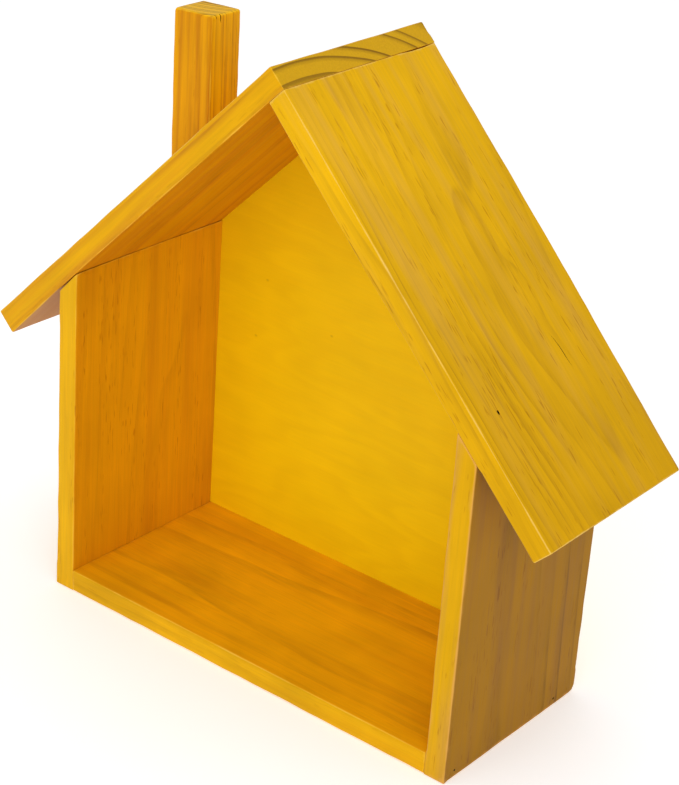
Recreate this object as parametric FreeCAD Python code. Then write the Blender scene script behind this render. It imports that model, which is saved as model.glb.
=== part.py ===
import FreeCAD, Part
import math
import os

# An open-fronted birdhouse with a gabled roof and a small square chimney, in millimetres.
# The origin is on the ground, under the middle of the body.
# +X is to the right as seen from the front, the open front faces -Y, and +Z is up.

# Boards
board_thickness = 12.0
body_width = 258.0             # across the outer faces of the two walls
body_depth = 110.0             # front edge to back edge, the same for walls, floor and roof
wall_height = 170.0            # outer face of a wall, from the ground to the roof's underside
roof_pitch = 45.5              # degrees from level
eaves_overhang = 34.5          # level distance from a wall's outer face to the end of the roof's underside

# Back panel, let into a rebate that runs round the back edges of the boards
panel_thickness = 3.0
panel_lap = 5.0                # how far the panel's edge reaches into each board
panel_clearance = 0.4          # gap round the panel's edge in its rebate

# Chimney
chimney_width = 24.5
chimney_depth = 20.5
chimney_height = 95.5          # its longest edge, from the roof up to the sawn top
chimney_offset = 86.0          # level distance from the middle of the body to the chimney's middle
dowel_diameter = 6.0
dowel_in_roof = 8.0
dowel_in_chimney = 12.0

# Lost-head nails and panel pins: shank, head and how far the head is punched below the surface
nail_diameter = 1.4
nail_length = 30.0
nail_head_diameter = 2.0
nail_head_length = 1.2
nail_sink = 1.3
pin_diameter = 1.0
pin_length = 13.0
pin_head_diameter = 1.6
pin_head_length = 0.8
pin_sink = 0.2
floor_nail_height = 4.0        # above the ground
floor_nail_front_margin = 8.0
floor_nail_back_margin = 19.0
roof_nail_edge_margin = 16.5   # from the front and back edges of the roof
roof_nail_wall_margin = 2.6    # from the wall's outer face, to keep the plumb nail inside the wall
ridge_nail_edge_margin = 16.5
pin_rows = 3                   # pins up each wall and along each roof slope
pin_floor_count = 4            # pins along the floor

# Values that follow from the sizes above
half_width = body_width / 2.0
half_depth = body_depth / 2.0
inner_half_width = half_width - board_thickness
pitch = math.radians(roof_pitch)
peak_height = wall_height + half_width * math.tan(pitch)
reach = (half_width + eaves_overhang) / math.cos(pitch)
ridge_lap = board_thickness / math.sin(2.0 * pitch)

# Directions down each roof slope and out of its upper face, left and right
down_left = FreeCAD.Vector(-math.cos(pitch), 0, -math.sin(pitch))
down_right = FreeCAD.Vector(math.cos(pitch), 0, -math.sin(pitch))
out_left = FreeCAD.Vector(-math.sin(pitch), 0, math.cos(pitch))
out_right = FreeCAD.Vector(math.sin(pitch), 0, math.cos(pitch))
peak = FreeCAD.Vector(0, 0, peak_height)

NAIL = {"diameter": nail_diameter, "length": nail_length, "sink": nail_sink,
        "head_diameter": nail_head_diameter, "head_length": nail_head_length}
PIN = {"diameter": pin_diameter, "length": pin_length, "sink": pin_sink,
       "head_diameter": pin_head_diameter, "head_length": pin_head_length}


def prism(points, front, depth):
    """A flat outline in the X-Z plane, pushed back along +Y from the plane y = front."""
    corners = [FreeCAD.Vector(p.x, front, p.z) for p in points]
    face = Part.Face(Part.makePolygon(corners + corners[:1]))
    return face.extrude(FreeCAD.Vector(0, depth, 0))


def point(x, z):
    return FreeCAD.Vector(x, 0, z)


def underside_height(x):
    """Height of the roof's underside over a point x from the middle."""
    return peak_height - abs(x) * math.tan(pitch)


def roof_top_height(x):
    """Height of the roof's upper face over a point x from the middle, away from the ridge."""
    return underside_height(x) + board_thickness / math.cos(pitch)


def roof_nail_depths():
    edge = half_depth - roof_nail_edge_margin
    return [-edge, edge]


def ridge_nail_depths():
    edge = half_depth - ridge_nail_edge_margin
    return [-edge, 0.0, edge]


def floor_nail_depths():
    return [-half_depth + floor_nail_front_margin, half_depth - floor_nail_back_margin]


def nail(head, direction, kind):
    """One nail, its head punched below the surface point 'head'."""
    top = head + direction * kind["sink"]
    shank = Part.makeCylinder(kind["diameter"] / 2.0, kind["length"], top, direction)
    cap = Part.makeCylinder(kind["head_diameter"] / 2.0, kind["head_length"], top, direction)
    return shank.fuse(cap).removeSplitter()


def nail_hole(head, direction, kind):
    """Room for one nail, with the pit over its head carried clear of a sloping surface."""
    mouth = head - direction * kind["head_diameter"]
    depth = kind["head_diameter"] + kind["sink"]
    pit = Part.makeCylinder(kind["head_diameter"] / 2.0, depth, mouth, direction)
    return pit.fuse(nail(head, direction, kind)).removeSplitter()


def floor_nail_spots(side):
    """Surface points and driving direction of the nails through one wall into the floor."""
    heads = [FreeCAD.Vector(side * half_width, y, floor_nail_height) for y in floor_nail_depths()]
    return heads, FreeCAD.Vector(-side, 0, 0)


def roof_nail_spots(side):
    """Surface points and driving direction of the plumb nails through the roof into one wall."""
    x = side * (half_width - roof_nail_wall_margin)
    heads = [FreeCAD.Vector(x, y, roof_top_height(x)) for y in roof_nail_depths()]
    return heads, FreeCAD.Vector(0, 0, -1)


def ridge_nail_spots():
    """Nails through the left roof board, down the middle of the right board's end grain."""
    board_middle = peak + out_right * (board_thickness / 2.0)
    back_up = board_thickness * (1.0 - math.cos(2.0 * pitch) / 2.0) / math.sin(2.0 * pitch)
    middle = board_middle - down_right * back_up
    heads = [middle + FreeCAD.Vector(0, y, 0) for y in ridge_nail_depths()]
    return heads, down_right


def panel_outline(grow):
    """The interior's outline, made larger all round by 'grow'."""
    x = inner_half_width + grow
    bottom = board_thickness - grow
    rise = grow / math.cos(pitch)
    shoulder = underside_height(x) + rise
    return [point(-x, bottom), point(x, bottom), point(x, shoulder),
            point(0, peak_height + rise), point(-x, shoulder)]


def panel_rebate():
    outline = panel_outline(panel_lap + panel_clearance)
    return prism(outline, half_depth - panel_thickness, panel_thickness)


def pin_spots():
    """Pins round the edge of the back panel, in the middle of the lap."""
    inset = panel_lap / 2.0
    x = inner_half_width + inset
    low = board_thickness - inset
    spots = []
    for i in range(pin_floor_count):
        across = -x + 2.0 * x * (i + 0.5) / pin_floor_count
        spots.append((across, low))
    rise = inset / math.cos(pitch)
    shoulder = underside_height(x) + rise
    for side in (-1, 1):
        for i in range(pin_rows):
            up = (i + 0.5) / pin_rows
            spots.append((side * x, low + (shoulder - low) * up))
            spots.append((side * x * (1.0 - up), shoulder + (peak_height + rise - shoulder) * up))
    return [FreeCAD.Vector(px, half_depth, pz) for px, pz in spots], FreeCAD.Vector(0, -1, 0)


def make_nails(spots, kind):
    heads, direction = spots
    return Part.Compound([nail(head, direction, kind) for head in heads])


def cut_nail_holes(shape, spots, kind=NAIL):
    heads, direction = spots
    for head in heads:
        shape = shape.cut(nail_hole(head, direction, kind))
    return shape


def cut_pin_holes(shape):
    return cut_nail_holes(shape, pin_spots(), PIN)


def make_floor():
    board = Part.makeBox(2.0 * inner_half_width, body_depth, board_thickness,
                         FreeCAD.Vector(-inner_half_width, -half_depth, 0))
    board = board.cut(panel_rebate())
    for side in (-1, 1):
        board = cut_nail_holes(board, floor_nail_spots(side))
    return cut_pin_holes(board)


def make_wall(side):
    """A side wall, its top bevelled to lie flat against the roof."""
    outer = side * half_width
    inner = side * inner_half_width
    outline = [point(inner, 0), point(outer, 0),
               point(outer, underside_height(outer)), point(inner, underside_height(inner))]
    board = prism(outline, -half_depth, body_depth)
    board = board.cut(panel_rebate())
    board = cut_nail_holes(board, floor_nail_spots(side))
    board = cut_nail_holes(board, roof_nail_spots(side))
    return cut_pin_holes(board)


def make_left_roof():
    """The longer roof board: its square upper end laps over the right board at the ridge."""
    top = peak - down_left * ridge_lap
    foot = peak + down_left * reach
    step = out_left * board_thickness
    board = prism([foot, top, top + step, foot + step], -half_depth, body_depth)
    board = board.cut(panel_rebate())
    board = cut_nail_holes(board, roof_nail_spots(-1))
    board = cut_nail_holes(board, ridge_nail_spots())
    board = board.cut(dowel_shape())
    return cut_pin_holes(board)


def make_right_roof():
    """The other roof board, its upper end butted against the left board's underside."""
    foot = peak + down_right * reach
    step = out_right * board_thickness
    top_outer = peak - down_left * ridge_lap
    board = prism([peak, foot, foot + step, top_outer], -half_depth, body_depth)
    board = board.cut(panel_rebate())
    board = cut_nail_holes(board, roof_nail_spots(1))
    board = cut_nail_holes(board, ridge_nail_spots())
    return cut_pin_holes(board)


def make_chimney():
    """A square post standing plumb on the left slope, its foot sawn to the pitch."""
    left = -chimney_offset - chimney_width / 2.0
    right = -chimney_offset + chimney_width / 2.0
    top = roof_top_height(left) + chimney_height
    outline = [point(left, roof_top_height(left)), point(right, roof_top_height(right)),
               point(right, top), point(left, top)]
    post = prism(outline, -chimney_depth / 2.0, chimney_depth)
    return post.cut(dowel_shape())


def dowel_shape():
    """The hidden glued dowel, square to the slope, from the roof board into the chimney."""
    foot = FreeCAD.Vector(-chimney_offset, 0, roof_top_height(chimney_offset))
    start = foot - out_left * dowel_in_roof
    return Part.makeCylinder(dowel_diameter / 2.0, dowel_in_roof + dowel_in_chimney, start, out_left)


def make_back_panel():
    """Thin plywood, flush with the back edges of the boards."""
    panel = prism(panel_outline(panel_lap), half_depth - panel_thickness, panel_thickness)
    return cut_pin_holes(panel)


def main():
    nodes = {
        "floor_board": make_floor(),
        "left_wall": make_wall(-1),
        "right_wall": make_wall(1),
        "left_roof_board": make_left_roof(),
        "right_roof_board": make_right_roof(),
        "back_panel": make_back_panel(),
        "chimney": make_chimney(),
        "chimney_dowel": dowel_shape(),
        "floor_nails_left": make_nails(floor_nail_spots(-1), NAIL),
        "floor_nails_right": make_nails(floor_nail_spots(1), NAIL),
        "roof_nails_left": make_nails(roof_nail_spots(-1), NAIL),
        "roof_nails_right": make_nails(roof_nail_spots(1), NAIL),
        "ridge_nails": make_nails(ridge_nail_spots(), NAIL),
        "back_panel_pins": make_nails(pin_spots(), PIN),
    }
    os.makedirs("parts", exist_ok=True)
    for name, shape in nodes.items():
        shape.exportStep(os.path.join("parts", name + ".step"))
        print(name, len(shape.Solids), "solid(s)", round(shape.Volume), "mm3")


main()
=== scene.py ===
# An open-fronted birdhouse: pine boards nailed up as a small house, stained yellow, with a thin
# plywood back and a square chimney. Lengths are in metres, +X is to the right and the front is -Y.

import math

import bmesh
import bpy
from mathutils import Matrix, Vector, noise


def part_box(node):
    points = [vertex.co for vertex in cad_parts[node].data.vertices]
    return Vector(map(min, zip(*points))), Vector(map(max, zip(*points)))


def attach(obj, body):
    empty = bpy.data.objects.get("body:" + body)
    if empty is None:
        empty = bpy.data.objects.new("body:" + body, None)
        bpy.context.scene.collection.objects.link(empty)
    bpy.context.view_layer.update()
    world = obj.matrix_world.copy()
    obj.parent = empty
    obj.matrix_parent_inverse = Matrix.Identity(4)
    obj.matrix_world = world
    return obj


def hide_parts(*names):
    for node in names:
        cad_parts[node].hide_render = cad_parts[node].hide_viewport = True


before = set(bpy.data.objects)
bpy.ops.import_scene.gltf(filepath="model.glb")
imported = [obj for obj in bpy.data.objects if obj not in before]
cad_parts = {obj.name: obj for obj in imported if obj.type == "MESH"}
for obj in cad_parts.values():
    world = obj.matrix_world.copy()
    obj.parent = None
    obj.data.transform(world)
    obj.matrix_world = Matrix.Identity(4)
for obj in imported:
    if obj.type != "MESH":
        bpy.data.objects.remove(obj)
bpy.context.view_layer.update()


# ---- Floor board ----
# A planed pine board laid flat between the two walls. Its ends butt against them and are held by
# two nails a side; its back edge is rebated for the plywood, and its long edges are sanded round.

MM = 0.001                     # a millimetre, in metres
floor_low, floor_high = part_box("floor_board")
thickness = floor_high.z - floor_low.z
inner_half = floor_high.x
half_depth = floor_high.y
sanded_round = 1.3 * MM        # radius left on the edges that a hand can reach
joint_round = 0.25 * MM        # a sawn end that butts against another board stays crisp
mesh_step = 2.2 * MM
pale_edge_width = 2.0 * MM          # how far in from an edge the paler band reaches: thinned stain, on the pine with a painted highlight


def lines_along(low, high, low_round, high_round, step):
    """Mesh lines from low to high, closer over the rounded ends: (place, how far round the edge)."""
    start, stop = low + low_round, high - high_round
    count = max(2, round((stop - start) / step))
    flat = [(start + (stop - start) * i / count, 0.0) for i in range(count + 1)]
    turns = [math.tan(math.radians(angle)) for angle in (15, 30, 45)]
    first = [(start - low_round * t, -t) for t in reversed(turns)]
    last = [(stop + high_round * t, t) for t in turns]
    return first + flat + last


def block(name, material, low, high, low_round, high_round, seed, shape=None, crisp=None,
          step=mesh_step):
    """A solid block with unevenly sanded edges, meshed finely enough to be bent.
    'shape' moves its points, and 'crisp' gives the part of the rounding left near a joint.
    Each point also keeps how near it is to an edge, as its "arris", for the paler edges: wear, and on
    the pine a painted highlight."""
    lines = [lines_along(low[a], high[a], low_round[a], high_round[a], step) for a in range(3)]
    last = [len(line) - 1 for line in lines]
    points = []
    arris = []
    numbers = {}

    def corner(key):
        if key in numbers:
            return numbers[key]
        start = Vector([lines[a][key[a]][0] for a in range(3)])
        turn = Vector([lines[a][key[a]][1] for a in range(3)])
        way = turn.normalized()
        # Hand sanding reaches 40 to 100 % of the full rounding, changing every 14 mm or so
        uneven = 0.80 + 0.45 * noise.noise(start / (14 * MM) + Vector((seed * 7.3, 0, 0)))
        uneven = min(1.0, max(0.4, uneven))
        if crisp:
            uneven *= crisp(start)
        place = start.copy()
        for a in range(3):
            if turn[a] > 0:
                radius = high_round[a] * uneven
                place[a] = high[a] - radius + radius * way[a]
            elif turn[a] < 0:
                radius = low_round[a] * uneven
                place[a] = low[a] + radius + radius * way[a]
        gaps = sorted(min(start[a] - low[a], high[a] - start[a]) for a in range(3))
        numbers[key] = len(points)
        points.append(shape(place) if shape else place)
        arris.append(max(0.0, 1.0 - gaps[1] / pale_edge_width))
        return numbers[key]

    faces = []
    for a in range(3):
        b, c = (a + 1) % 3, (a + 2) % 3
        for side in (0, last[a]):
            for i in range(last[b]):
                for j in range(last[c]):
                    ring = []
                    for di, dj in ((0, 0), (1, 0), (1, 1), (0, 1)):
                        key = [0, 0, 0]
                        key[a], key[b], key[c] = side, i + di, j + dj
                        ring.append(corner(tuple(key)))
                    faces.append(ring if side else ring[::-1])
    mesh = bpy.data.meshes.new(name)
    mesh.from_pydata(points, [], faces)
    mesh.materials.append(material)
    layer = mesh.attributes.new("arris", "FLOAT", "POINT")
    layer.data.foreach_set("value", arris)
    made = bpy.data.objects.new(name, mesh)
    bpy.context.collection.objects.link(made)
    return made


def solid(points, faces, material=None):
    """A plain closed shape used only to cut with; its material is left on the faces that it cuts."""
    mesh = bpy.data.meshes.new("cutter")
    mesh.from_pydata(points, [], faces)
    if material:
        mesh.materials.append(material)
    made = bpy.data.objects.new("cutter", mesh)
    bpy.context.collection.objects.link(made)
    return made


def joined(parts, material=None):
    """One cutter from several lists of points and faces that don't touch each other."""
    points = []
    faces = []
    for some_points, some_faces in parts:
        faces += [[n + len(points) for n in face] for face in some_faces]
        points += some_points
    return solid(points, faces, material)


def cut(piece, cutter):
    """Cuts one shape out of a piece and throws the cutter away."""
    tool = piece.modifiers.new("cut", "BOOLEAN")
    tool.object = cutter
    tool.solver = "EXACT"
    tool.operation = "DIFFERENCE"
    tool.material_mode = "TRANSFER"
    bpy.context.view_layer.update()
    graph = bpy.context.evaluated_depsgraph_get()
    result = bpy.data.meshes.new_from_object(
        piece.evaluated_get(graph), preserve_all_data_layers=True, depsgraph=graph)
    piece.modifiers.clear()
    old = piece.data
    piece.data = result
    result.name = piece.name
    bpy.data.meshes.remove(old)
    bpy.data.objects.remove(cutter)


def prism(outline, front, back):
    """Points and faces of an outline in the X-Z plane, carried from front to back along Y."""
    count = len(outline)
    points = [Vector((x, y, z)) for y in (front, back) for x, z in outline]
    faces = [list(range(count)), list(range(2 * count - 1, count - 1, -1))]
    for i in range(count):
        j = (i + 1) % count
        faces.append([j, i, i + count, j + count])
    return points, faces


def turned(start, way, profile, sides=20):
    """Points and faces of a round shape along 'way'; profile is (distance from start, radius)."""
    across = way.orthogonal().normalized()
    other = way.cross(across)
    points = []
    for along, radius in profile:
        for i in range(sides):
            angle = 2 * math.pi * i / sides
            ring = across * math.cos(angle) + other * math.sin(angle)
            points.append(start + way * along + ring * radius)
    faces = [list(range(sides - 1, -1, -1))]
    for row in range(len(profile) - 1):
        for i in range(sides):
            j = (i + 1) % sides
            base = row * sides
            faces.append([base + i, base + j, base + sides + j, base + sides + i])
    faces.append([(len(profile) - 1) * sides + i for i in range(sides)])
    return points, faces


def driven(node_name, way):
    """Head end and length of each loose part of a CAD node that was driven in along 'way'."""
    same_point = 0.001 * MM
    head_face = 0.05 * MM
    shape = bmesh.new()
    shape.from_mesh(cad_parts[node_name].data)
    bmesh.ops.remove_doubles(shape, verts=shape.verts, dist=same_point)
    seen = set()
    found = []
    for first in shape.verts:
        if first in seen:
            continue
        seen.add(first)
        todo = [first]
        part = []
        while todo:
            vert = todo.pop()
            part.append(vert.co.copy())
            for edge in vert.link_edges:
                other = edge.other_vert(vert)
                if other not in seen:
                    seen.add(other)
                    todo.append(other)
        depths = [co.dot(way) for co in part]
        head = [co for co, depth in zip(part, depths) if depth < min(depths) + head_face]
        middle = sum(head, Vector()) / len(head)
        found.append((middle, max(depths) - min(depths)))
    shape.free()
    return found


def nail_holes(node_name, way, shank, head, filled_behind=1.0):
    """Holes that fit a node's nails with a little room. The wood has closed in over the heads, so
    each pit has a small mouth; nails further back than 'filled_behind' are stopped with filler."""
    room = 0.04 * MM
    head_radius = head * 0.52
    shank_radius = shank / 2 + room
    mouth, neck = head * 0.36, head * 0.30
    holes = []
    for start, length in driven(node_name, way):
        profile = [(-room, head_radius), (1.2 * MM, head_radius), (1.21 * MM, shank_radius),
                   (length + room, shank_radius)]
        if start.y < filled_behind:
            profile = [(-4 * MM, mouth), (-0.9 * MM, neck)] + profile
        holes.append(turned(start, way, profile))
    return holes


nail_shank, nail_head = 1.4 * MM, 2.0 * MM
pin_shank, pin_head = 1.0 * MM, 1.6 * MM
RIGHT, LEFT = Vector((1, 0, 0)), Vector((-1, 0, 0))
FRONT = Vector((0, -1, 0))
UP, DOWN = Vector((0, 0, 1)), Vector((0, 0, -1))
left_floor_holes = nail_holes("floor_nails_left", RIGHT, nail_shank, nail_head)
right_floor_holes = nail_holes("floor_nails_right", LEFT, nail_shank, nail_head)
pin_holes = nail_holes("back_panel_pins", FRONT, pin_shank, pin_head)

# The rebate follows the plywood, with 0.4 mm of room all round
panel_low, panel_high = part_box("back_panel")
roof_pitch = math.radians(45.5)
panel_room = 0.4 * MM


def panel_outline(grow):
    """The plywood's five-sided outline as (x, z), made larger all round by 'grow'."""
    x = panel_high.x + grow
    ridge = panel_high.z + grow / math.cos(roof_pitch)
    shoulder = ridge - x * math.tan(roof_pitch)
    bottom = panel_low.z - grow
    return [(-x, bottom), (x, bottom), (x, shoulder), (0, ridge), (-x, shoulder)]


def rebate():
    """A cutter for the rebate, a little deeper than the sheet and open at the back."""
    return solid(*prism(panel_outline(panel_room), panel_low.y - 0.05 * MM, half_depth + 3 * MM))


def colour(code):
    """An sRGB hex colour as linear red, green, blue and alpha."""
    parts = [int(code[i:i + 2], 16) / 255 for i in (1, 3, 5)]
    return [c / 12.92 if c <= 0.04045 else ((c + 0.055) / 1.055) ** 2.4 for c in parts] + [1.0]


def node(tree, kind, inputs=None, **settings):
    """Adds a node with its settings, and sets or links its inputs."""
    made = tree.nodes.new(kind)
    for name, value in settings.items():
        setattr(made, name, value)
    for name, value in (inputs or {}).items():
        if isinstance(value, bpy.types.NodeSocket):
            tree.links.new(value, made.inputs[name])
        else:
            made.inputs[name].default_value = value
    return made


def new_finish(name):
    """An empty material, its node tree, and the place on the piece in mm."""
    material = bpy.data.materials.new(name)
    material.use_nodes = True
    tree = material.node_tree
    tree.nodes.clear()
    place = node(tree, "ShaderNodeTexCoord").outputs["Object"]
    mm = node(tree, "ShaderNodeVectorMath", {0: place, "Scale": 1000.0}, operation="SCALE")
    return material, tree, mm.outputs[0]


def falling_off(tree, mm, spot):
    """1 at a spot on a board's face, falling smoothly to 0: (x, y, length, width, ...) in mm."""
    away = node(tree, "ShaderNodeVectorMath", {0: mm, 1: (spot[0], spot[1], 0.0)},
                operation="SUBTRACT").outputs[0]
    oval = node(tree, "ShaderNodeVectorMath", {0: away, 1: (1 / spot[2], 1 / spot[3], 0.0)},
                operation="MULTIPLY").outputs[0]
    square = node(tree, "ShaderNodeVectorMath", {0: oval, 1: oval},
                  operation="DOT_PRODUCT").outputs["Value"]
    return node(tree, "ShaderNodeMath", {0: math.exp(-1.0), 1: square},
                operation="POWER").outputs[0]


def stained_pine(name, heart, lean, ring, seed, early="#E6AE0C", late="#A06E14", lines=0.6,
                 alike=0.35, patchy=0.3, wander=7.0, streak="#D29434", streaks=0.3,
                 streak_width=4.5, clouds=0.045, dashes=0.3, bow=None, eye=None, down="#FFFFFF",
                 front="#FFFFFF", shade_ramp=None, shaded_eave=None, end="#D8A416", end_late="#6E5018",
                 wear_and_edge_light="#F3C448", pale_edge_from=1.15):
    """Scots pine, planed and wiped with a thin yellow stain that dries to a soft satin.
    The growth rings are tubes round a heart outside the board, so faces, edges and ends agree:
    heart is its (y, z) and ring the width of a year's growth, in mm along the board's own axes.
    early and late are spring and autumn wood; lines is how strongly the autumn wood shows, alike
    and patchy how evenly, and wander how far the rings stray. bow and eye are marks of a branch:
    x, y, length, width, and how far it shifts the rings. streak, clouds and dashes are marks in
    the stain, and end is how the end grain took it. down and front are painted shade on one face,
    shade_ramp is painted shade towards one end or edge, and shaded_eave is painted shade greying
    the underside past the wall. wear_and_edge_light is the colour of the pale edges, thinned stain
    with a painted highlight, which are wider where pale_edge_from is lower."""
    material, tree, mm = new_finish(name)
    own = node(tree, "ShaderNodeVectorMath", {0: mm, 1: (seed * 371.0, seed * 53.0, seed * 17.0)},
               operation="ADD").outputs[0]
    normal = node(tree, "ShaderNodeTexCoord").outputs["Normal"]
    facing = node(tree, "ShaderNodeSeparateXYZ", {0: normal})

    # Patterns drawn out along the grain: name, length and width of a mark in mm, and detail.
    # Fibres are about 0.05 mm wide; drawn near 1 mm so that they show.
    marks = {}
    for mark, long, wide, detail in (
            ("drift", 110, 40, 1.5), ("patch", 90, 24, 2.0), ("ragged", 14, 1.4, 2.0),
            ("streak", 140, streak_width, 2.0), ("fibre", 32, 1.1, 3.0), ("dash", 8, 0.8, 0.0),
            ("row", 160, 7, 1.0), ("edge_patches", 16, 5, 3.0)):
        place = node(tree, "ShaderNodeVectorMath", {0: own, 1: (1 / long, 1 / wide, 1 / wide)},
                     operation="MULTIPLY").outputs[0]
        marks[mark] = node(tree, "ShaderNodeTexNoise",
                           {"Vector": place, "Scale": 1.0, "Detail": detail}).outputs

    # The rings wander a few millimetres over a hand's length of board
    sway = node(tree, "ShaderNodeVectorMath",
                {0: marks["drift"]["Color"], 1: (0.0, wander, wander),
                 2: (0.0, -wander / 2, -wander / 2)}, operation="MULTIPLY_ADD").outputs[0]
    bent = node(tree, "ShaderNodeVectorMath", {0: mm, 1: sway}, operation="ADD").outputs[0]
    if bow:
        # The whole grain bows sideways round the place where a branch grew
        push = node(tree, "ShaderNodeVectorMath",
                    {0: (0.0, bow[4], 0.0), "Scale": falling_off(tree, mm, bow)}, operation="SCALE")
        bent = node(tree, "ShaderNodeVectorMath", {0: bent, 1: push.outputs[0]},
                    operation="ADD").outputs[0]
    along = node(tree, "ShaderNodeSeparateXYZ", {0: bent}).outputs["X"]
    leaning = node(tree, "ShaderNodeVectorMath", {0: (0.0, lean[0], lean[1]), "Scale": along},
                   operation="SCALE").outputs[0]
    middle = node(tree, "ShaderNodeVectorMath", {0: leaning, 1: (0.0, heart[0], heart[1])},
                  operation="ADD").outputs[0]
    offset = node(tree, "ShaderNodeVectorMath", {0: bent, 1: middle},
                  operation="SUBTRACT").outputs[0]
    spoke = node(tree, "ShaderNodeVectorMath", {0: offset, 1: (0.0, 1.0, 1.0)},
                 operation="MULTIPLY").outputs[0]
    radius = node(tree, "ShaderNodeVectorMath", {0: spoke}, operation="LENGTH").outputs["Value"]
    if eye:
        # A branch bud buried under the upper face leaves a small closed oval
        fall = falling_off(tree, mm, eye)
        radius = node(tree, "ShaderNodeMath", {0: fall, 1: eye[4], 2: radius},
                      operation="MULTIPLY_ADD").outputs[0]
    years = node(tree, "ShaderNodeMath", {0: radius, 1: 1 / ring}, operation="MULTIPLY").outputs[0]
    seasons = node(tree, "ShaderNodeTexNoise", {"W": years, "Scale": 0.9, "Detail": 1.0},
                   noise_dimensions="1D").outputs[0]
    years = node(tree, "ShaderNodeMath", {0: seasons, 1: 1.1, 2: years},
                 operation="MULTIPLY_ADD").outputs[0]
    year = node(tree, "ShaderNodeMath", {0: years}, operation="FRACT").outputs[0]
    count = node(tree, "ShaderNodeMath", {0: years}, operation="FLOOR").outputs[0]
    count = node(tree, "ShaderNodeMath", {0: count, 1: seed * 7.13}, operation="ADD").outputs[0]
    hardness = node(tree, "ShaderNodeTexWhiteNoise", {"W": count}, noise_dimensions="1D")

    # Each year's wood darkens slowly towards autumn, then stops sharply
    profile = node(tree, "ShaderNodeValToRGB", {"Fac": year})
    ramp = profile.color_ramp
    ramp.interpolation = "EASE"
    ramp.elements[0].position = 0.25
    ramp.elements[0].color = (0.0, 0.0, 0.0, 1.0)
    ramp.elements[1].position = 0.985
    ramp.elements[1].color = (0.0, 0.0, 0.0, 1.0)
    for place, value in ((0.62, 0.35), (0.84, 0.9), (0.91, 1.0)):
        ramp.elements.new(place).color = (value, value, value, 1.0)
    some = node(tree, "ShaderNodeMapRange", {0: hardness.outputs["Value"], 3: alike, 4: 1.0})
    fade = node(tree, "ShaderNodeMapRange",
                {0: marks["patch"][0], 1: 0.4, 2: 0.6, 3: patchy, 4: 1.0})
    growth = node(tree, "ShaderNodeMath", {0: profile.outputs[0], 1: some.outputs[0]},
                  operation="MULTIPLY").outputs[0]
    autumn = node(tree, "ShaderNodeMath", {0: growth, 1: fade.outputs[0]},
                  operation="MULTIPLY").outputs[0]
    broken = node(tree, "ShaderNodeMapRange",
                  {0: marks["ragged"][0], 1: 0.35, 2: 0.6, 3: lines * 0.55, 4: lines})
    ink = node(tree, "ShaderNodeMath", {0: autumn, 1: broken.outputs[0]},
               operation="MULTIPLY").outputs[0]
    wood = node(tree, "ShaderNodeMixRGB", {0: ink, 1: colour(early), 2: colour(late)}).outputs[0]

    # Stain soaks in unevenly: soft streaks some millimetres wide, and clouds some centimetres
    streaky = node(tree, "ShaderNodeMapRange",
                   {0: marks["streak"][0], 1: 0.45, 2: 0.75, 3: 0.0, 4: streaks})
    wood = node(tree, "ShaderNodeMixRGB",
                {0: streaky.outputs[0], 1: wood, 2: colour(streak)}).outputs[0]
    cloud = node(tree, "ShaderNodeTexNoise", {"Vector": own, "Scale": 1 / 38, "Detail": 2.0})
    cloudy = node(tree, "ShaderNodeMapRange",
                  {0: cloud.outputs[0], 1: 0.3, 2: 0.7, 3: 1 - clouds, 4: 1 + clouds})
    fibrous = node(tree, "ShaderNodeMapRange",
                   {0: marks["fibre"][0], 1: 0.3, 2: 0.7, 3: 0.94, 4: 1.04})
    shade = node(tree, "ShaderNodeMath", {0: cloudy.outputs[0], 1: fibrous.outputs[0]},
                 operation="MULTIPLY").outputs[0]
    wood = node(tree, "ShaderNodeVectorMath", {0: wood, "Scale": shade}, operation="SCALE").outputs[0]

    # Resin canals cut along their length: dashes 5 to 15 mm long and half a millimetre wide,
    # crowded in some years' growth and missing from others
    crowd = node(tree, "ShaderNodeMapRange",
                 {0: marks["row"][0], 1: 0.48, 2: 0.6, 3: 0.0, 4: dashes})
    dashed = node(tree, "ShaderNodeMapRange", {0: marks["dash"][0], 1: 0.66, 2: 0.74})
    dashed = node(tree, "ShaderNodeMath", {0: dashed.outputs[0], 1: crowd.outputs[0]},
                  operation="MULTIPLY").outputs[0]
    dark = node(tree, "ShaderNodeVectorMath", {0: wood, 1: (0.55, 0.36, 0.3)},
                operation="MULTIPLY").outputs[0]
    wood = node(tree, "ShaderNodeMixRGB", {0: dashed, 1: wood, 2: dark}).outputs[0]

    # Painted shade: one face, chosen by the way it faces, is tinted darker or more orange than the
    # rest
    for axis, low, tint in (("Z", -0.6, down), ("Y", -0.6, front)):
        turned_to = node(tree, "ShaderNodeMapRange", {0: facing.outputs[axis], 1: low, 2: low * 1.5})
        tinted = node(tree, "ShaderNodeVectorMath", {0: wood, 1: colour(tint)[:3]},
                      operation="MULTIPLY").outputs[0]
        wood = node(tree, "ShaderNodeMixRGB", {0: turned_to.outputs[0], 1: wood, 2: tinted}).outputs[0]
    if shade_ramp:
        # Painted shade: the board is tinted darker towards one end or edge: (way, from, to, tint), in
        # mm
        along_way = node(tree, "ShaderNodeVectorMath", {0: mm, 1: shade_ramp[0]},
                         operation="DOT_PRODUCT").outputs["Value"]
        more = node(tree, "ShaderNodeMapRange", {0: along_way, 1: shade_ramp[1], 2: shade_ramp[2]}).outputs[0]
        tinted = node(tree, "ShaderNodeVectorMath", {0: wood, 1: colour(shade_ramp[3])[:3]},
                      operation="MULTIPLY").outputs[0]
        wood = node(tree, "ShaderNodeMixRGB", {0: more, 1: wood, 2: tinted}).outputs[0]
    if shaded_eave:
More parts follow.
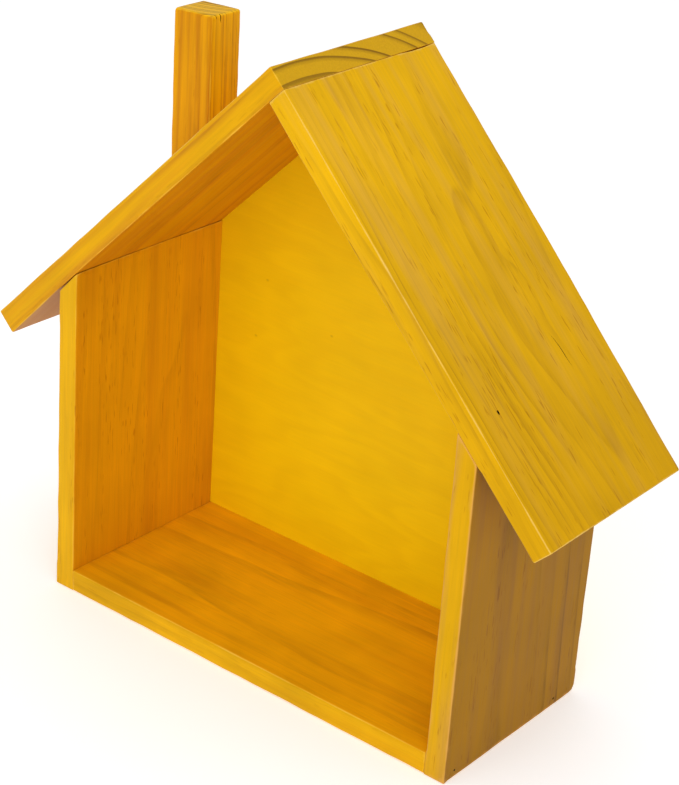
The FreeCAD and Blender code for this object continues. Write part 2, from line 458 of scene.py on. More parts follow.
        # Painted shade: past the wall, the underside of the eaves is greyed to a dull brown
        place = node(tree, "ShaderNodeSeparateXYZ", {0: mm}).outputs["X"]
        past = node(tree, "ShaderNodeMapRange",
                    {0: place, 1: shaded_eave * 0.99, 2: shaded_eave * 1.01, 3: 0.0, 4: 0.7}).outputs[0]
        under = node(tree, "ShaderNodeMapRange", {0: facing.outputs["Z"], 1: -0.6, 2: -0.9}).outputs[0]
        both = node(tree, "ShaderNodeMath", {0: past, 1: under}, operation="MULTIPLY").outputs[0]
        wood = node(tree, "ShaderNodeMixRGB", {0: both, 1: wood, 2: colour("#B4875C")}).outputs[0]

    # End grain drinks more stain and looks duller, with open pores
    pores = node(tree, "ShaderNodeTexNoise", {"Vector": own, "Scale": 1 / 0.9, "Detail": 2.0})
    spread = node(tree, "ShaderNodeMath", {0: facing.outputs["X"]}, operation="ABSOLUTE").outputs[0]
    ends = node(tree, "ShaderNodeMapRange", {0: spread, 1: 0.6, 2: 0.95, 3: 0.0, 4: 0.9})
    end_ring = node(tree, "ShaderNodeMixRGB",
                    {0: growth, 1: colour(end), 2: colour(end_late)}).outputs[0]
    pored = node(tree, "ShaderNodeMapRange", {0: pores.outputs[0], 1: 0.3, 2: 0.7, 3: 0.92, 4: 1.04})
    end_wood = node(tree, "ShaderNodeVectorMath", {0: end_ring, "Scale": pored.outputs[0]},
                    operation="SCALE").outputs[0]
    wood = node(tree, "ShaderNodeMixRGB", {0: ends.outputs[0], 1: wood, 2: end_wood}).outputs[0]

    # Paler edges: sanding and handling thin the stain there, and a painted highlight lies along them
    # too
    arris = node(tree, "ShaderNodeAttribute", attribute_name="arris").outputs["Fac"]
    pale_edge_reach = node(tree, "ShaderNodeMath", {0: marks["edge_patches"][0], 1: arris},
                  operation="ADD").outputs[0]
    bare = node(tree, "ShaderNodeMapRange",
                {0: pale_edge_reach, 1: pale_edge_from, 2: pale_edge_from + 0.55, 3: 0.0, 4: 0.75})
    wood = node(tree, "ShaderNodeMixRGB", {0: bare.outputs[0], 1: wood, 2: colour(wear_and_edge_light)}).outputs[0]

    # Autumn wood stands a few hundredths of a millimetre proud once it is sanded
    relief = node(tree, "ShaderNodeMath", {0: autumn, 1: 0.035}, operation="MULTIPLY").outputs[0]
    relief = node(tree, "ShaderNodeMath", {0: marks["fibre"][0], 1: 0.03, 2: relief},
                  operation="MULTIPLY_ADD").outputs[0]
    relief = node(tree, "ShaderNodeMath", {0: dashed, 1: -0.05, 2: relief},
                  operation="MULTIPLY_ADD").outputs[0]
    bump = node(tree, "ShaderNodeBump", {"Strength": 0.6, "Distance": MM, "Height": relief})
    matt = node(tree, "ShaderNodeMapRange",
                {0: marks["fibre"][0], 1: 0.3, 2: 0.7, 3: 0.42, 4: 0.58})
    # The stain lies in the very surface, so even its dull sheen is yellow
    surface = node(tree, "ShaderNodeBsdfPrincipled", {
        "Base Color": wood, "Roughness": matt.outputs[0], "Normal": bump.outputs[0],
        "IOR": 1.5, "Specular IOR Level": 0.1, "Specular Tint": colour("#F6D878")})
    node(tree, "ShaderNodeOutputMaterial", {0: surface.outputs[0]})
    return material


def dressed(piece, place, node_name):
    """Shades a piece, puts it in its place and has it stand for its CAD node."""
    piece.data.shade_smooth()
    piece.data.set_sharp_from_angle(angle=math.radians(38))
    piece.matrix_world = place
    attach(piece, "root")
    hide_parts(node_name)


def dark_hollow_finish(name):
    """Nearly black-brown and mottled: the colour of the walls of the nail pits, the crack and the
    splinter scars.
    """
    material, tree, mm = new_finish(name)
    mottle = node(tree, "ShaderNodeTexNoise", {"Vector": mm, "Scale": 2.0, "Detail": 2.0})
    wood = node(tree, "ShaderNodeMixRGB",
                {0: mottle.outputs[0], 1: colour("#1C1004"), 2: colour("#3A2408")}).outputs[0]
    bump = node(tree, "ShaderNodeBump",
                {"Strength": 0.5, "Distance": 0.1 * MM, "Height": mottle.outputs[0]})
    matt = node(tree, "ShaderNodeMapRange", {0: mottle.outputs[0], 3: 0.8, 4: 0.95})
    surface = node(tree, "ShaderNodeBsdfPrincipled", {
        "Base Color": wood, "Roughness": matt.outputs[0], "Normal": bump.outputs[0], "IOR": 1.5,
        "Specular IOR Level": 0.1})
    node(tree, "ShaderNodeOutputMaterial", {0: surface.outputs[0]})
    return material


def placed(origin, x_way, z_way):
    """The matrix of a board that lies at origin, its length along x_way and its face to z_way."""
    y_way = z_way.cross(x_way)
    turn = Matrix((x_way, y_way, z_way)).transposed()
    return Matrix.Translation(origin) @ turn.to_4x4()


def cut_all(piece, place, cutters):
    """Cuts shapes made in the house's frame out of a piece made in its own."""
    for cutter in cutters:
        cutter.data.transform(place.inverted())
        cut(piece, cutter)


def planed(p, seed):
    """Sinks a point of a board's faces by what planing and drying took away, 0.12 mm at most."""
    if abs(p.z) > 4 * MM:
        wave = 0.5 + 0.5 * noise.noise(p / (35 * MM) + Vector((0, seed * 3.1, 0)))
        p.z -= math.copysign(0.12 * MM * wave, p.z)
    return p


def floor_shape(p):
    return planed(p, 1)


floor_place = placed(Vector((0, 0, thickness / 2)), RIGHT, UP)
# Nearly black-brown, for the walls of the nail pits, the crack and the splinter scars
hollow_dark = dark_hollow_finish("dark_hollow_finish")
# Painted shade: the front face is tinted a little darker and yellower, and the board darker and more
# orange towards the front
floor_pine = stained_pine("stained_pine_floor", heart=(-3, -62), lean=(0.03, 0.02), ring=7.0, seed=1,
                          early="#F4B80E", lines=0.45, streaks=0.3, streak="#C67A12", streak_width=9.0,
                          clouds=0.1, dashes=0.15, front="#F2FCE0",
                          shade_ramp=((0, -1, 0), -45, 40, "#F7ECDC"))
floor_board = block(
    "floor_board", floor_pine,
    (-inner_half, -half_depth, -thickness / 2), (inner_half, half_depth, thickness / 2),
    (joint_round, sanded_round, sanded_round), (joint_round, sanded_round, sanded_round),
    seed=1, shape=floor_shape)
cut_all(floor_board, floor_place,
        [rebate(), joined(left_floor_holes + right_floor_holes + pin_holes, hollow_dark)])
dressed(floor_board, floor_place, "floor_board")


# ---- Side walls ----
# Two upright pine boards, grain running up, their tops sawn to the slope of the roof.
# The left one is sawn a little short at its front corner, so a thin wedge of shadow shows there.

wall_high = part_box("right_wall")[1]
half_width = wall_high.x
wall_middle = half_width - thickness / 2
slope = math.tan(roof_pitch)
wall_length = wall_high.z - slope * thickness / 2      # up the middle of the board's thickness
left_roof_holes = nail_holes("roof_nails_left", DOWN, nail_shank, nail_head, filled_behind=0.0)
right_roof_holes = nail_holes("roof_nails_right", DOWN, nail_shank, nail_head, filled_behind=0.0)


def left_wall_shape(p):
    planed(p, 2)
    # Sawn 1.7 mm short at the front, 1.4 mm at the back and 0.4 mm between, less on the inside
    front = max(0.0, 1 - (p.y + half_depth) / (30 * MM))
    back = max(0.0, 1 - (half_depth - p.y) / (22 * MM))
    short = 0.35 * MM + 1.3 * MM * front ** 1.5 + 1.0 * MM * back
    short *= 0.65 + 0.35 * p.z / (thickness / 2)
    up = p.x / wall_length
    if up > 0:
        p.x += up ** 4 * (-slope * p.z - short)
    return p


def right_wall_shape(p):
    up = p.x / wall_length
    planed(p, 3)
    # The foot's back corner has been knocked off
    knock = p.x / (4.0 * MM) + (half_depth - p.y) / (2.6 * MM)
    if knock < 1.0:
        p.x += (1.0 - knock) * 1.8 * MM
        p.y -= (1.0 - knock) * 1.2 * MM
    if up > 0:
        p.x += up ** 4 * slope * p.z
    return p


def wall_crisp(start):
    """The edges of the foot stay square, where the floor butts against it."""
    return 0.25 if start.x < thickness and abs(start.y) > half_depth - 3 * MM else 1.0


# Painted shade: the inner face is tinted darker and more orange, and the board darker towards the
# front
left_wall_pine = stained_pine(
    "stained_pine_left_wall", heart=(18, 46), lean=(0.02, 0.03), ring=6.0, seed=2,
    early="#F0BE12", lines=0.3, streaks=0.3, streak="#C4801C", streak_width=11.0, dashes=0.5,
    down="#FBE6E4", shade_ramp=((0, -1, 0), -50, 45, "#F2E8D6"))
# Painted shade: the outer face is tinted a much darker, duller brown, the front face a little darker,
# and the edges a darker tan
right_wall_pine = stained_pine(
    "stained_pine_right_wall", heart=(-20, 40), lean=(-0.03, 0.02), ring=9.0, seed=3,
    early="#DFA60A", late="#7A5A18", lines=0.7, streaks=0.5, streak="#BE8A5A", streak_width=9.0,
    dashes=0.5, down="#BAAE86", front="#F6F8E0", wear_and_edge_light="#DCA252", pale_edge_from=0.85)
for name, side, shape, material, seed, nails in (
        ("left_wall", -1, left_wall_shape, left_wall_pine, 2,
         left_floor_holes + left_roof_holes),
        ("right_wall", 1, right_wall_shape, right_wall_pine, 3,
         right_floor_holes + right_roof_holes)):
    wall_place = placed(Vector((side * wall_middle, 0, 0)), UP, LEFT)
    wall = block(
        name, material, (0, -half_depth, -thickness / 2), (wall_length, half_depth, thickness / 2),
        (0.9 * MM, sanded_round, sanded_round), (joint_round, sanded_round, sanded_round),
        seed=seed, shape=shape, crisp=wall_crisp)
    cut_all(wall, wall_place, [rebate(), joined(nails + pin_holes, hollow_dark)])
    dressed(wall, wall_place, name)


# ---- Roof boards ----
# Two pine boards, grain running down the slope, nailed to the walls. The left one runs on to the
# ridge and covers the top of the right one, so its end grain shows along the ridge.

roof_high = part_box("right_roof_board")[1]
peak = Vector((0, 0, wall_high.z + slope * inner_half))
down_left = Vector((-math.cos(roof_pitch), 0, -math.sin(roof_pitch)))
down_right = Vector((math.cos(roof_pitch), 0, -math.sin(roof_pitch)))
out_left = Vector((-math.sin(roof_pitch), 0, math.cos(roof_pitch)))
out_right = Vector((math.sin(roof_pitch), 0, math.cos(roof_pitch)))
reach = (roof_high.x - thickness * math.sin(roof_pitch)) / math.cos(roof_pitch)
ridge_lap = thickness / math.sin(2 * roof_pitch)
ridge_holes = nail_holes("ridge_nails", down_right, nail_shank, nail_head)
dowel_start, dowel_length = driven("chimney_dowel", out_left)[0]
bore_radius = 3.05 * MM         # a 6 mm dowel, with 0.05 mm of room for glue
bore_spare = 0.2 * MM           # the bore is this much deeper at each end
dowel_bore = turned(dowel_start, out_left,
                    [(-bore_spare, bore_radius), (dowel_length + bore_spare, bore_radius)], sides=32)


def under_wall(x):
    """True where a roof board lies on a wall."""
    return inner_half - 2 * MM < abs(x) * math.cos(roof_pitch) < half_width + 2 * MM


def left_roof_crisp(start):
    if start.z < 0 and (start.x > -2 * MM or under_wall(start.x)):
        return 0.25
    return 1.0


def right_roof_crisp(start):
    return 0.25 if start.z < 0 and under_wall(start.x) else 1.0


def left_roof_shape(p):
    planed(p, 4)
    # The board was planed a little thicker towards the eaves
    past_wall = -p.x - half_width / math.cos(roof_pitch)
    if p.z < 0 and past_wall > 0:
        p.z -= 1.2 * MM * past_wall / (50 * MM)
    return p


def right_roof_shape(p):
    planed(p, 5)
    p.x += (p.z + thickness / 2) / math.tan(2 * roof_pitch) * (1 - p.x / reach)
    # The back corner at the eaves was sawn out of square
    to_back = 0.5 + p.y / (2 * half_depth)
    p.x -= 0.9 * MM * to_back * max(0.0, p.x / reach) ** 4
    p.y -= 1.9 * MM * to_back * max(0.0, 2 * p.x / reach - 1)
    # The joint at the ridge gapes a little near the back
    gape = min(1.0, 1.6 - abs(p.y - 41 * MM) / (8 * MM))
    if p.x < 6 * MM and gape > 0:
        p.x += 0.55 * MM * gape * (1 - p.x / (6 * MM))
    return p


left_roof_place = placed(peak + out_left * thickness / 2, -down_left, out_left)
# Painted shade: the underside and the front face are tinted darker, and past the wall the underside is
# greyed
left_roof_pine = stained_pine(
    "stained_pine_left_roof", heart=(-40, -113), lean=(0.0, 0.0), ring=8.2, seed=4,
    early="#E3A80A", late="#A8601A", lines=0.75, alike=0.75, wander=3.0, streaks=0.55,
    streak="#CC7A22", dashes=0.2, down="#F6EAE6", front="#F7F5DC", shaded_eave=-184.0, end="#CF9F18",
    end_late="#684814")
left_roof = block(
    "left_roof_board", left_roof_pine,
    (-reach, -half_depth, -thickness / 2), (ridge_lap, half_depth, thickness / 2),
    (1.2 * MM, sanded_round, sanded_round), (1.4 * MM, sanded_round, sanded_round),
    seed=4, shape=left_roof_shape, crisp=left_roof_crisp)
cut_all(left_roof, left_roof_place,
        [rebate(), joined(left_roof_holes + ridge_holes + pin_holes, hollow_dark),
         joined([dowel_bore])])
dressed(left_roof, left_roof_place, "left_roof_board")

right_roof_place = placed(peak + out_right * thickness / 2, down_right, out_right)
# Painted shade and light: the board darkens down the slope, the underside past the wall is greyed, and
# a painted highlight lies along the edges
right_roof_pine = stained_pine(
    "stained_pine_right_roof", heart=(32, -40), lean=(0.0, 0.0), ring=5.6, seed=5,
    early="#E2AC0A", lines=0.6, alike=0.5, patchy=0.2, streaks=0.36, streak="#CC9C54",
    streak_width=8.0, clouds=0.06, dashes=0.5, bow=(118, 8, 80, 42, 27.0), eye=(124, 21, 12, 5, -3.0),
    front="#FFFFEE", shade_ramp=((1, 0, 0), 60, 225, "#EEEACC"), shaded_eave=184.0, wear_and_edge_light="#F0CA6C",
    pale_edge_from=1.1)
right_roof = block(
    "right_roof_board", right_roof_pine,
    (0, -half_depth, -thickness / 2), (reach, half_depth, thickness / 2),
    (joint_round, sanded_round, sanded_round), (1.3 * MM, sanded_round, sanded_round),
    seed=5, shape=right_roof_shape, crisp=right_roof_crisp)

# A drying crack 20 mm long in the upper face, deepest in its middle
crack_steps = 8
crack_top = 7 * MM              # 1 mm above the face, so that the cut is open
crack_points = []
crack_faces = []
for i in range(crack_steps + 1):
    t = i / crack_steps
    swell = math.sin(math.pi * t)
    x = (147 + 20 * t) * MM
    y = -half_depth + (74.5 + 3.5 * t + 0.5 * math.sin(5 * t)) * MM
    wide = (0.05 + 0.27 * swell) * MM
    deep = (0.2 + 1.4 * swell) * MM
    crack_points += [Vector((x, y - wide, crack_top)), Vector((x, y + wide, crack_top)),
                     Vector((x, y, thickness / 2 - deep))]
for i in range(crack_steps):
    a = 3 * i
    for j, k in ((0, 1), (1, 2), (2, 0)):
        crack_faces.append([a + 3 + j, a + 3 + k, a + k, a + j])
last = 3 * crack_steps
crack_faces += [[0, 1, 2], [last + 2, last + 1, last]]
cut(right_roof, solid(crack_points, crack_faces, hollow_dark))
cut_all(right_roof, right_roof_place,
        [rebate(), joined(right_roof_holes + ridge_holes + pin_holes, hollow_dark)])
dressed(right_roof, right_roof_place, "right_roof_board")


# ---- Back panel ----
# A sheet of 3 mm poplar plywood, stained with the rest, let into the rebate and pinned all round.
# Its face veneer was peeled from a turning log, so the figure is broad and wavy.

panel_height = panel_high.z - panel_low.z


def panel_shape(p):
    """Shears the flat top of the sheet down to the two slopes of the gable."""
    top = panel_height - abs(p.x) * slope
    p.z = p.z / panel_height * top
    return p


def stained_plywood(name):
    """Poplar plywood, sanded smooth and stained: an even, clearer yellow than the pine."""
    material, tree, mm = new_finish(name)
    normal = node(tree, "ShaderNodeTexCoord").outputs["Normal"]
    facing = node(tree, "ShaderNodeSeparateXYZ", {0: normal})
    # Veneer figure lies across the sheet in waves 15 to 25 mm apart
    wide = node(tree, "ShaderNodeVectorMath", {0: mm, 1: (1 / 130, 1.0, 1 / 34)},
                operation="MULTIPLY").outputs[0]
    hills = node(tree, "ShaderNodeTexNoise", {"Vector": wide, "Scale": 1.0, "Detail": 1.5}).outputs[0]
    rings = node(tree, "ShaderNodeMath", {0: hills, 1: 9.0}, operation="MULTIPLY").outputs[0]
    ring = node(tree, "ShaderNodeMath", {0: rings}, operation="FRACT").outputs[0]
    band = node(tree, "ShaderNodeValToRGB", {"Fac": ring})
    ramp = band.color_ramp
    ramp.interpolation = "EASE"
    ramp.elements[0].color = (0.0, 0.0, 0.0, 1.0)
    ramp.elements[1].color = (0.0, 0.0, 0.0, 1.0)
    ramp.elements.new(0.7).color = (1.0, 1.0, 1.0, 1.0)
    soft = node(tree, "ShaderNodeMath", {0: band.outputs[0], 1: 0.12}, operation="MULTIPLY").outputs[0]
    # Painted light: the sheet is a lighter yellow over its foot, fading out 110 mm up
    height = node(tree, "ShaderNodeSeparateXYZ", {0: mm}).outputs["Z"]
    thin = node(tree, "ShaderNodeMapRange", {0: height, 1: 110.0, 2: 0.0}).outputs[0]
    ground = node(tree, "ShaderNodeMixRGB",
                  {0: thin, 1: colour("#F2C604"), 2: colour("#FCD406")}).outputs[0]
    wood = node(tree, "ShaderNodeMixRGB", {0: soft, 1: ground, 2: colour("#DCA608")}).outputs[0]
    fibre_place = node(tree, "ShaderNodeVectorMath", {0: mm, 1: (1 / 18, 1.0, 1 / 0.9)},
                       operation="MULTIPLY").outputs[0]
    fibre = node(tree, "ShaderNodeTexNoise", {"Vector": fibre_place, "Scale": 1.0, "Detail": 3.0})
    cloud = node(tree, "ShaderNodeTexNoise", {"Vector": mm, "Scale": 1 / 45, "Detail": 2.0})
    fine = node(tree, "ShaderNodeMapRange", {0: fibre.outputs[0], 1: 0.3, 2: 0.7, 3: 0.98, 4: 1.015})
    blotch = node(tree, "ShaderNodeMapRange", {0: cloud.outputs[0], 1: 0.3, 2: 0.7, 3: 0.95, 4: 1.04})
    shade = node(tree, "ShaderNodeMath", {0: fine.outputs[0], 1: blotch.outputs[0]},
                 operation="MULTIPLY").outputs[0]
    wood = node(tree, "ShaderNodeVectorMath", {0: wood, "Scale": shade}, operation="SCALE").outputs[0]

    # Three pin knots, under 1 mm across
    for x, z in ((-84, 151), (-39, 134), (-90, 117)):
        gap = node(tree, "ShaderNodeVectorMath", {0: mm, 1: (x, 0.0, z)},
                   operation="SUBTRACT").outputs[0]
        flat = node(tree, "ShaderNodeVectorMath", {0: gap, 1: (0.7, 0.0, 1.0)},
                    operation="MULTIPLY").outputs[0]
        far = node(tree, "ShaderNodeVectorMath", {0: flat}, operation="LENGTH").outputs["Value"]
        spot = node(tree, "ShaderNodeMapRange", {0: far, 1: 0.9, 2: 0.3, 3: 0.0, 4: 0.3})
        wood = node(tree, "ShaderNodeMixRGB",
                    {0: spot.outputs[0], 1: wood, 2: colour("#9A6A10")}).outputs[0]

    # Three plies show on the sheet's edge, the middle one end on and darker
    depth = node(tree, "ShaderNodeSeparateXYZ", {0: mm}).outputs["Y"]
    core = node(tree, "ShaderNodeMapRange", {0: depth, 1: -0.6, 2: -0.5, 3: 0.0, 4: 1.0}).outputs[0]
    core_end = node(tree, "ShaderNodeMapRange", {0: depth, 1: 0.5, 2: 0.6, 3: 1.0, 4: 0.0}).outputs[0]
    ply = node(tree, "ShaderNodeMath", {0: core, 1: core_end}, operation="MULTIPLY").outputs[0]
    face_on = node(tree, "ShaderNodeMath", {0: facing.outputs["Y"]}, operation="ABSOLUTE").outputs[0]
    edge_on = node(tree, "ShaderNodeMapRange", {0: face_on, 1: 0.5, 2: 0.3, 3: 0.0, 4: 0.7}).outputs[0]
    middle_ply = node(tree, "ShaderNodeMath", {0: ply, 1: edge_on}, operation="MULTIPLY").outputs[0]
    wood = node(tree, "ShaderNodeMixRGB", {0: middle_ply, 1: wood, 2: colour("#A8741C")}).outputs[0]
    arris = node(tree, "ShaderNodeAttribute", attribute_name="arris").outputs["Fac"]
    edge_patches = node(tree, "ShaderNodeTexNoise", {"Vector": mm, "Scale": 1 / 7, "Detail": 2.0})
    pale_edge_reach = node(tree, "ShaderNodeMath", {0: edge_patches.outputs[0], 1: arris}, operation="ADD").outputs[0]
    bare = node(tree, "ShaderNodeMapRange", {0: pale_edge_reach, 1: 1.0, 2: 1.5, 3: 0.0, 4: 0.6})
    wood = node(tree, "ShaderNodeMixRGB",
                {0: bare.outputs[0], 1: wood, 2: colour("#F8D070")}).outputs[0]
    relief = node(tree, "ShaderNodeMath", {0: fibre.outputs[0], 1: 0.04},
                  operation="MULTIPLY").outputs[0]
    bump = node(tree, "ShaderNodeBump", {"Strength": 0.5, "Distance": MM, "Height": relief})
    matt = node(tree, "ShaderNodeMapRange", {0: fibre.outputs[0], 1: 0.3, 2: 0.7, 3: 0.45, 4: 0.6})
    surface = node(tree, "ShaderNodeBsdfPrincipled", {
        "Base Color": wood, "Roughness": matt.outputs[0], "Normal": bump.outputs[0],
        "IOR": 1.5, "Specular IOR Level": 0.1})
    node(tree, "ShaderNodeOutputMaterial", {0: surface.outputs[0]})
    return material


panel_thickness = panel_high.y - panel_low.y
panel_edge = 0.2 * MM
panel_place = placed(Vector((0, panel_low.y + panel_thickness / 2, panel_low.z)), RIGHT, UP)
back_panel = block(
    "back_panel", stained_plywood("stained_plywood"),
    (-panel_high.x, -panel_thickness / 2, 0), (panel_high.x, panel_thickness / 2, panel_height),
    (panel_edge,) * 3, (panel_edge,) * 3, seed=6, shape=panel_shape, step=3 * MM)
cut_all(back_panel, panel_place, [joined(pin_holes, hollow_dark)])
dressed(back_panel, panel_place, "back_panel")


# ---- Chimney ----
# A short length of square pine, its foot sawn to the pitch and glued to the left slope with a dowel.
# Its top was sawn a little out of true and lightly sanded, and one edge has splintered.

chimney_low, chimney_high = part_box("chimney")
chimney_middle = (chimney_low + chimney_high) / 2
chimney_half_x = (chimney_high.x - chimney_low.x) / 2
chimney_half_y = (chimney_high.y - chimney_low.y) / 2
chimney_height = chimney_high.z - chimney_low.z
foot_rise = 2 * chimney_half_x * slope          # how much higher the foot is on the ridge side


def chimney_shape(p):
    """Shears the foot to the slope, tips the top out of level and leans the whole a little."""
    up = p.x / chimney_height
    across = 0.5 - p.z / (2 * chimney_half_x)
    p.x += (1 - up) * foot_rise * across
    p.x += up * (0.4 * MM - 1.3 * MM * (1 - across))
    p.z += up * 0.7 * MM
    return p


def chimney_crisp(start):
    return 0.25 if start.x < 2 * MM else 1.0


chimney_place = placed(Vector((chimney_middle.x, 0, chimney_low.z)), UP, LEFT)
# Painted shade: the front face is tinted darker and more orange than the sides
chimney_pine = stained_pine(
    "stained_pine_chimney", heart=(45, 12), lean=(0.0, 0.0), ring=3.1, seed=7,
    early="#FABA0A", late="#B4680E", lines=0.8, alike=0.6, patchy=0.7, wander=1.5,
    streak="#B8661C", streaks=0.6, streak_width=3.4, dashes=0.3, front="#EBDCCE",
    end="#F0BA24", end_late="#74420E", wear_and_edge_light="#F6CC3C")
chimney_round = 1.5 * MM
chimney = block(
    "chimney", chimney_pine,
    (0, -chimney_half_y, -chimney_half_x), (chimney_height, chimney_half_y, chimney_half_x),
    (joint_round, chimney_round, chimney_round), (2.4 * MM, chimney_round, chimney_round),
    seed=7, shape=chimney_shape, crisp=chimney_crisp, step=1.5 * MM)

# Two splinters gone from the top of the side towards the ridge: place, width, depth and length in
# mm. Each is a wedge that starts above the top and runs out to nothing at its foot.
for y, wide, deep, long in ((-7.4, 1.2, 2.2, 3.5), (-4.4, 1.5, 2.5, 6.0)):
    above = chimney_height + 2.4 * MM
    foot = chimney_height - (0.6 + long) * MM
    out = -chimney_half_x - 1 * MM
    a, b = (y - wide / 2) * MM, (y + wide / 2) * MM
    aslant = 0.3 * MM
    cut(chimney, solid(
        [Vector((above, a, out)), Vector((above, b, out)),
         Vector((above, (a + b) / 2, -chimney_half_x + deep * MM)),
         Vector((foot, a + aslant, out)), Vector((foot, b + aslant, out)),
         Vector((foot, (a + b) / 2 + aslant, -chimney_half_x - 0.1 * MM))],
        [[0, 1, 2], [5, 4, 3], [0, 3, 4, 1], [1, 4, 5, 2], [2, 5, 3, 0]], hollow_dark))
cut_all(chimney, chimney_place, [joined([dowel_bore])])
dressed(chimney, chimney_place, "chimney")


# ---- Chimney dowel ----
# A plain round beech dowel, glued 8 mm into the roof board and 12 mm into the chimney, and hidden
# there. It keeps its shape from the part, and only needs its material.

def turned_beech(name):
    """Beech dowel, turned and left bare: pale pinkish wood with short dark flecks."""
    material, tree, mm = new_finish(name)
    fleck = node(tree, "ShaderNodeTexNoise", {"Vector": mm, "Scale": 1.1, "Detail": 3.0})
    mark = node(tree, "ShaderNodeMapRange", {0: fleck.outputs[0], 1: 0.5, 2: 0.7, 3: 0.0, 4: 0.5})
    wood = node(tree, "ShaderNodeMixRGB",
                {0: mark.outputs[0], 1: colour("#D9B58C"), 2: colour("#A87C55")}).outputs[0]
    matt = node(tree, "ShaderNodeMapRange", {0: fleck.outputs[0], 3: 0.5, 4: 0.65})
    bump = node(tree, "ShaderNodeBump",
                {"Strength": 0.3, "Distance": 0.1 * MM, "Height": fleck.outputs[0]})
    surface = node(tree, "ShaderNodeBsdfPrincipled", {
        "Base Color": wood, "Roughness": matt.outputs[0], "Normal": bump.outputs[0], "IOR": 1.5})
    node(tree, "ShaderNodeOutputMaterial", {0: surface.outputs[0]})
    return material


def finished_as(node_name, material):
    """Gives a CAD node that keeps its own shape a better material."""
    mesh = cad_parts[node_name].data
    mesh.materials.clear()
    mesh.materials.append(material)


finished_as("chimney_dowel", turned_beech("turned_beech"))


# ---- Nails and panel pins ----
# Lost-head wire nails punched just under the surface, and small pins round the plywood.
# The pits are coloured nearly black-brown, so each one shows as a dark dot.

def drawn_steel(name):
    """Bright drawn wire gone dull: grey steel, smeared with the stain that was wiped over it."""
    material, tree, mm = new_finish(name)
    smear = node(tree, "ShaderNodeTexNoise", {"Vector": mm, "Scale": 0.9, "Detail": 3.0})
    mark = node(tree, "ShaderNodeMapRange", {0: smear.outputs[0], 1: 0.35, 2: 0.65})
    steel = node(tree, "ShaderNodeMixRGB",
                 {0: mark.outputs[0], 1: colour("#4A4740"), 2: colour("#2A1A08")}).outputs[0]
    bright = node(tree, "ShaderNodeMapRange", {0: mark.outputs[0], 3: 0.9, 4: 0.1})
    matt = node(tree, "ShaderNodeMapRange", {0: smear.outputs[0], 3: 0.35, 4: 0.7})
    bump = node(tree, "ShaderNodeBump",
                {"Strength": 0.4, "Distance": 0.1 * MM, "Height": smear.outputs[0]})
    surface = node(tree, "ShaderNodeBsdfPrincipled", {
        "Base Color": steel, "Metallic": bright.outputs[0], "Roughness": matt.outputs[0],
        "Normal": bump.outputs[0]})
    node(tree, "ShaderNodeOutputMaterial", {0: surface.outputs[0]})
    return material


wire_steel = drawn_steel("drawn_steel")
for node_name in ("floor_nails_left", "floor_nails_right", "roof_nails_left", "roof_nails_right",
                  "ridge_nails", "back_panel_pins"):
    finished_as(node_name, wire_steel)


# ---- Floor, light and camera ----
# A plain white table in an even white room, with soft boxes in front, to the right and above.

table_width = 10.0
bpy.ops.mesh.primitive_grid_add(x_subdivisions=8, y_subdivisions=8, size=table_width,
                                location=(0, 0, -0.3 * MM))
table = bpy.context.object
table.name = "table"
paper, paper_tree, paper_mm = new_finish("white_paper")
paper_noise = node(paper_tree, "ShaderNodeTexNoise",
                   {"Vector": paper_mm, "Scale": 1 / 330, "Detail": 2.0})
paper_white = node(paper_tree, "ShaderNodeMixRGB",
                   {0: paper_noise.outputs[0], 1: colour("#FBFBFB"), 2: colour("#F8F8F8")})
paper_surface = node(paper_tree, "ShaderNodeBsdfPrincipled", {
    "Base Color": paper_white.outputs[0], "Roughness": 0.8, "IOR": 1.45, "Specular IOR Level": 0.2,
    "Emission Color": (1.0, 1.0, 1.0, 1.0), "Emission Strength": 0.27})
node(paper_tree, "ShaderNodeOutputMaterial", {0: paper_surface.outputs[0]})
table.data.materials.append(paper)


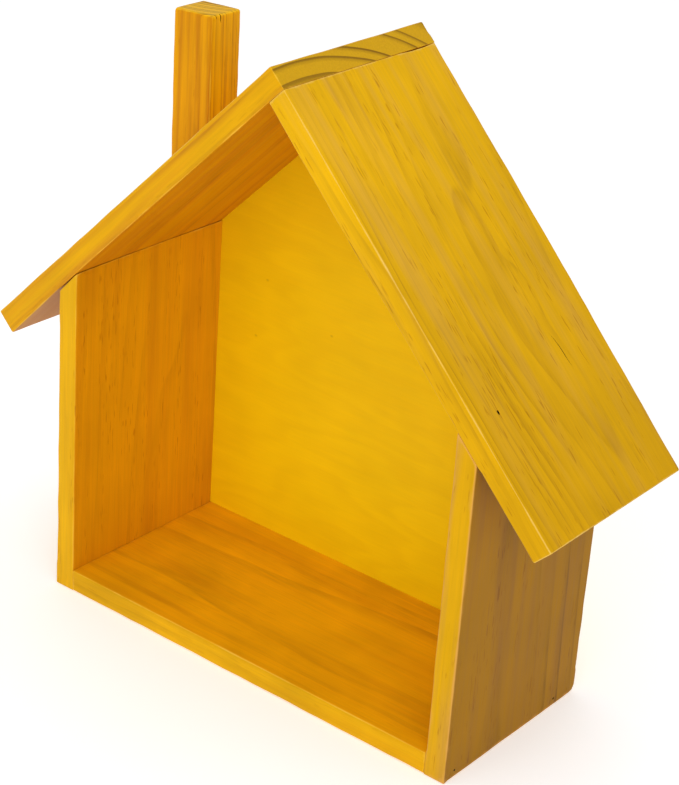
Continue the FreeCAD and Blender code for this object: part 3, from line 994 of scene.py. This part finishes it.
def soft_light(name, place, aim, size, power):
    """A square soft box at 'place', facing 'aim'."""
    lamp = bpy.data.lights.new(name, "AREA")
    lamp.shape = "SQUARE"
    lamp.size = size
    lamp.energy = power
    made = bpy.data.objects.new(name, lamp)
    bpy.context.collection.objects.link(made)
    made.location = place
    made.rotation_euler = (Vector(place) - Vector(aim)).to_track_quat("Z", "Y").to_euler()


house_middle = (0, 0, 0.15)
soft_light("front_light", (0.0, -2.7, 1.5), house_middle, 2.0, 12)
soft_light("side_light", (1.7, -2.1, 1.6), house_middle, 2.0, 23)
soft_light("top_light", (0.3, 0.0, 2.9), house_middle, 2.4, 17)

world = bpy.data.worlds.new("studio")
world.use_nodes = True
sky = world.node_tree.nodes["Background"]
sky.inputs["Color"].default_value = (1.0, 1.0, 1.0, 1.0)
sky.inputs["Strength"].default_value = 0.6
bpy.context.scene.world = world
bpy.context.scene.view_settings.view_transform = "Standard"
bpy.context.scene.view_settings.look = "None"

# The camera stands 35 degrees round to the right and looks down, held slightly turned
camera_azimuth = math.radians(35.21)
camera_elevation = math.radians(25.98)
camera_roll = math.radians(5.11)
camera_distance = 1.0642
camera_aim = Vector((0.0412, 0.0218, 0.1478))
forward = Vector((-math.sin(camera_azimuth) * math.cos(camera_elevation),
                  math.cos(camera_azimuth) * math.cos(camera_elevation),
                  -math.sin(camera_elevation)))
level = Vector((math.cos(camera_azimuth), math.sin(camera_azimuth), 0))
above = level.cross(forward)
camera_right = level * math.cos(camera_roll) + above * math.sin(camera_roll)
camera_up = camera_right.cross(forward)
lens = bpy.data.cameras.new("camera")
lens.lens = 100.2
lens.sensor_width = 36.0
lens.sensor_fit = "AUTO"
lens.shift_x = -0.1025
lens.clip_start = 0.05
lens.clip_end = 50.0
camera = bpy.data.objects.new("camera", lens)
bpy.context.collection.objects.link(camera)
camera_turn = Matrix((camera_right, camera_up, -forward)).transposed()
camera_stand = Matrix.Translation(camera_aim - forward * camera_distance)
camera.matrix_world = camera_stand @ camera_turn.to_4x4()
bpy.context.scene.camera = camera
